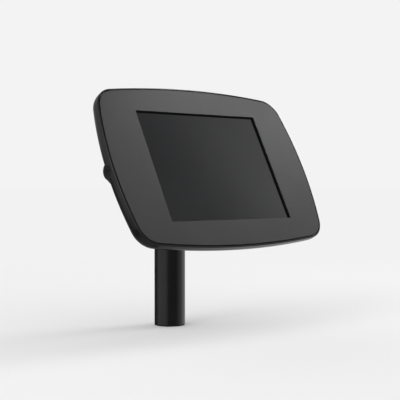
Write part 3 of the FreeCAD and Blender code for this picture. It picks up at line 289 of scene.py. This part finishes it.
def cover_glass(name):
    """Cover glass bonded to a switched-off display: black right through, with a clear polish that hands have
    wiped a little unevenly."""
    wipe_size = 0.045
    material = finish_material(name, "#0e0f11", 0.05, IOR=1.54)
    place = place_on(material)
    mottled(material, place, "#0d0e10", "#101113", size=wipe_size)
    wipes = add(material, "ShaderNodeTexNoise", {"Vector": place, "Scale": 1 / wipe_size, "Detail": 5.0})
    dull = add(material, "ShaderNodeMapRange",
               {"Value": wipes.outputs["Fac"], "From Min": 0.3, "From Max": 0.7, "To Min": 0.03,
                "To Max": 0.07})
    into_shader(material, "Roughness", dull.outputs["Result"])
    return material


def battery_film(name):
    """Black polymer film, drawn tight over the cell: slightly wavy."""
    wave_size = 0.02
    wave_depth = 0.0002
    material = finish_material(name, "#18181a", 0.4)
    place = place_on(material)
    waves = add(material, "ShaderNodeTexNoise", {"Vector": place, "Scale": 1 / wave_size, "Detail": 2.0})
    relief(material, waves.outputs["Fac"], wave_depth)
    return material


dress(blasted_aluminium("blasted_aluminium"), "tablet_shell")
dress(battery_film("battery_film"), "tablet_battery")
dress(display("switched_off_display"), "tablet_display")
dress(cover_glass("cover_glass"), "tablet_glass")

# Foam pads
# Die-cut closed-cell foam. Blocks behind the tablet and corners round it hold it in the case, and a frame of
# the same foam on the face plate presses on its glass.


def closed_cell_foam(name):
    """Black closed-cell foam: cells about 0.8 mm across, cut open on every face."""
    cell_size = 0.0008
    cell_depth = 0.0003
    material = finish_material(name, "#1a1a1b", 0.9)
    place = place_on(material)
    mottled(material, place, "#161617", "#1f1f20", size=0.004)
    cells = add(material, "ShaderNodeTexVoronoi", {"Vector": place, "Scale": 1 / cell_size})
    relief(material, cells.outputs["Distance"], cell_depth)
    return material


def cut_foam(node, name, material, body):
    """A foam piece in the space of its solid: cutting leaves it a hair under size, with soft edges."""
    edge_radius = 0.0006
    under_size = 0.00005
    same_place = 1e-6
    flat_within = radians(1)
    edge_beyond = radians(40)
    piece = bpy.data.objects.new(name, frame["nodes"][node].data.copy())
    bpy.context.scene.collection.objects.link(piece)
    mesh = bmesh.new()
    mesh.from_mesh(piece.data)
    bmesh.ops.remove_doubles(mesh, verts=mesh.verts, dist=same_place)
    bmesh.ops.dissolve_limit(mesh, angle_limit=flat_within, verts=mesh.verts, edges=mesh.edges)
    mesh.normal_update()
    inward = [(vertex, vertex.normal * -under_size) for vertex in mesh.verts]
    for vertex, step in inward:
        vertex.co += step
    mesh.to_mesh(piece.data)
    mesh.free()
    piece.data.materials.clear()
    piece.data.materials.append(material)
    bevel = piece.modifiers.new("soft_edges", "BEVEL")
    bevel.width = edge_radius
    bevel.segments = 3
    bevel.limit_method = "ANGLE"
    bevel.angle_limit = edge_beyond
    for face in piece.data.polygons:
        face.use_smooth = False
    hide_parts(node)
    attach(piece, body)


foam = closed_cell_foam("closed_cell_foam")
cut_foam("tablet_back_pads", "foam_back_blocks", foam, "head")
cut_foam("tablet_corner_pads", "foam_corner_blocks", foam, "head")
cut_foam("window_gasket", "foam_window_frame", foam, "face")

# Face plate
# A 2 mm steel sheet, laser cut with its window, edges eased and powder coated satin black. Studs welded to
# its back carry the lock's strike and the tongue that hooks into the right wall.
dress(powder_coat("plate_satin_powder_coat", "#1a1a1b", "#1e1e1f", roughness=0.48, specular=0.31),
      "faceplate")
dress(zinc, "lock_strike", "hinge_tongue", "bracket_studs", "bracket_nuts")

# Studio
# A pale seamless floor that fades into a pale surround. A wide lamp on each side casts the soft shadows. Two
# small ones with honeycomb grids, up by the head's right corner, graze the face, and flags keep them off the
# floor.


def studio_floor():
    """The floor near the object is lit and takes its shadow; further out it fades to the surround's
    colour."""
    reach = 30.0
    fade_from = 0.35
    fade_to = 1.3
    mesh = bpy.data.meshes.new("studio_floor")
    corners = [(-reach, -reach, 0), (reach, -reach, 0), (reach, reach, 0), (-reach, reach, 0)]
    mesh.from_pydata(corners, [], [(0, 1, 2, 3)])
    floor = bpy.data.objects.new("studio_floor", mesh)
    bpy.context.scene.collection.objects.link(floor)
    material = bpy.data.materials.new("pale_floor")
    material.use_nodes = True
    material.node_tree.nodes.clear()
    away = add(material, "ShaderNodeVectorMath", {0: place_on(material)}, operation="LENGTH")
    fade = add(material, "ShaderNodeMapRange",
               {"Value": away.outputs["Value"], "From Min": fade_from, "From Max": fade_to},
               interpolation_type="SMOOTHSTEP")
    lit = add(material, "ShaderNodeBsdfDiffuse", {"Color": linear("#f7f7f7")})
    glow = add(material, "ShaderNodeEmission", {"Color": linear("#f2f2f2"), "Strength": 1.0})
    mix = add(material, "ShaderNodeMixShader",
              {0: fade.outputs["Result"], 1: lit.outputs[0], 2: glow.outputs[0]})
    add(material, "ShaderNodeOutputMaterial", {"Surface": mix.outputs[0]})
    mesh.materials.append(material)
    floor.visible_glossy = False
    return floor


def panels(world, turn, levels):
    """Brightness round the studio's walls at one height, as levels at azimuths in degrees: pale panels with
    dark gaps between them."""
    ramp = add(world, "ShaderNodeValToRGB", {"Fac": turn})
    stops = ramp.color_ramp.elements
    while len(stops) < len(levels):
        stops.new(0.5)
    for stop, (azimuth, level) in zip(stops, levels.items()):
        stop.position = (azimuth + 180) / 360
        stop.color = [level, level, level, 1]
    return ramp.outputs["Color"]


def studio_surround():
    """Seen, the surround is even and pale. Mirrored, it is a room of pale panels and dark gaps that change
    with height. As a light it is stronger at the walls than overhead."""
    colour = "#f3f3f3"
    wall_light = 1.48
    ceiling_light = 0.62
    below = {-180: 0.22, 10: 0.2, 38: 0.08, 70: 0.2, 180: 0.22}
    ground = {-180: 0.1, -60: 0.2, 0: 0.5, 26: 0.55, 34: 0.8, 42: 0.5, 90: 0.2, 120: 0.04, 180: 0.06}
    eye_level = {-180: 0.72, -162: 0.72, -138: 0.05, -80: 0.04, -60: 0.4, -44: 0.6, -36: 0.65, -26: 1.0,
                 0: 1.0, 40: 0.5, 70: 0.06, 116: 0.06, 140: 0.72, 180: 0.72}
    upper = {-180: 0.6, -140: 0.5, -60: 0.45, -38: 0.46, -33: 0.55, -30: 1.0, -26: 1.0, 40: 0.6, 90: 0.4,
             120: 0.4, 180: 0.6}
    high = {-180: 0.5, -140: 0.4, -60: 0.35, -38: 0.36, -33: 0.38, -29: 0.6, -26: 0.68, 40: 0.5, 90: 0.3,
            120: 0.3, 180: 0.5}
    overhead = {-180: 0.06, 180: 0.06}
    # Each row of panels comes in over the one below it between two elevations in degrees
    rows = ((-50, -35, ground), (-18, -9, eye_level), (-3, 2, upper), (34, 42, high), (55, 72, overhead))
    world = bpy.data.worlds.new("studio_surround")
    bpy.context.scene.world = world
    world.use_nodes = True
    world.node_tree.nodes.clear()
    ray = add(world, "ShaderNodeLightPath")
    toward = add(world, "ShaderNodeSeparateXYZ", {0: add(world, "ShaderNodeTexCoord").outputs["Generated"]})
    around = add(world, "ShaderNodeMath", {0: toward.outputs["Y"], 1: toward.outputs["X"]},
                 operation="ARCTAN2")
    turn = add(world, "ShaderNodeMapRange", {"Value": around.outputs[0], "From Min": -pi, "From Max": pi})
    room = panels(world, turn.outputs["Result"], below)
    for lowest, highest, levels in rows:
        height = add(world, "ShaderNodeMapRange",
                     {"Value": toward.outputs["Z"], "From Min": sin(radians(lowest)),
                      "From Max": sin(radians(highest))})
        layer = add(world, "ShaderNodeMix", {"Factor": height.outputs["Result"]}, data_type="RGBA")
        world.node_tree.links.new(room, layer.inputs["A"])
        world.node_tree.links.new(panels(world, turn.outputs["Result"], levels), layer.inputs["B"])
        room = layer.outputs["Result"]
    seen = add(world, "ShaderNodeMath",
               {0: ray.outputs["Is Camera Ray"], 1: ray.outputs["Is Transmission Ray"]}, operation="MAXIMUM")
    ambient = add(world, "ShaderNodeMapRange",
                  {"Value": toward.outputs["Z"], "To Min": wall_light, "To Max": ceiling_light})
    plain = add(world, "ShaderNodeMix", {"Factor": seen.outputs[0], "A": ambient.outputs["Result"], "B": 1.0})
    strength = add(world, "ShaderNodeMix",
                   {"Factor": ray.outputs["Is Glossy Ray"], "A": plain.outputs["Result"], "B": room})
    glow = add(world, "ShaderNodeBackground",
               {"Color": linear(colour), "Strength": strength.outputs["Result"]})
    add(world, "ShaderNodeOutputWorld", {"Surface": glow.outputs[0]})


def soft_lamp(name, place, aim, size, power, spread=180, shaded=None):
    """A square lamp, its size in metres and its spread in degrees. A flag can keep its light off one
    thing."""
    lamp = bpy.data.lights.new(name, "AREA")
    lamp.shape = "SQUARE"
    lamp.size = size
    lamp.energy = power
    lamp.spread = radians(spread)
    holder = bpy.data.objects.new(name, lamp)
    holder.location = place
    holder.rotation_euler = (Vector(aim) - Vector(place)).to_track_quat("-Z", "Y").to_euler()
    bpy.context.scene.collection.objects.link(holder)
    if shaded:
        flag = bpy.data.collections.new(name + "_flag")
        flag.objects.link(shaded)
        flag.collection_objects[0].light_linking.link_state = "EXCLUDE"
        holder.light_linking.receiver_collection = flag


foot = (0, 0, 0)
head_top = (0.02, -0.06, 0.26)
floor = studio_floor()
studio_surround()
soft_lamp("lamp_right", place=(3.37, -0.6, 2.07), aim=foot, size=1.4, power=28)
soft_lamp("lamp_left", place=(-3.3, -0.82, 1.95), aim=foot, size=1.9, power=22)
soft_lamp("lamp_above", place=(0.42, -0.2, 0.85), aim=head_top, size=0.16, power=0.108, spread=40,
          shaded=floor)
soft_lamp("lamp_corner", place=(0.62, -0.1, 0.55), aim=head_top, size=0.16, power=0.07, spread=60,
          shaded=floor)

# Camera
# The photograph was taken from the lower left of the screen, almost level, with a lens of about 87 mm.
lens = bpy.data.cameras.new("photo_camera")
lens.lens = 87.5
lens.sensor_width = 36.0
looks_along = Vector((0.6628, 0.7488, -0.0181))
camera = bpy.data.objects.new("photo_camera", lens)
camera.location = (-0.812, -0.977, 0.186)
camera.rotation_euler = looks_along.to_track_quat("-Z", "Y").to_euler()
bpy.context.scene.collection.objects.link(camera)
bpy.context.scene.camera = camera
bpy.context.scene.view_settings.view_transform = "Standard"
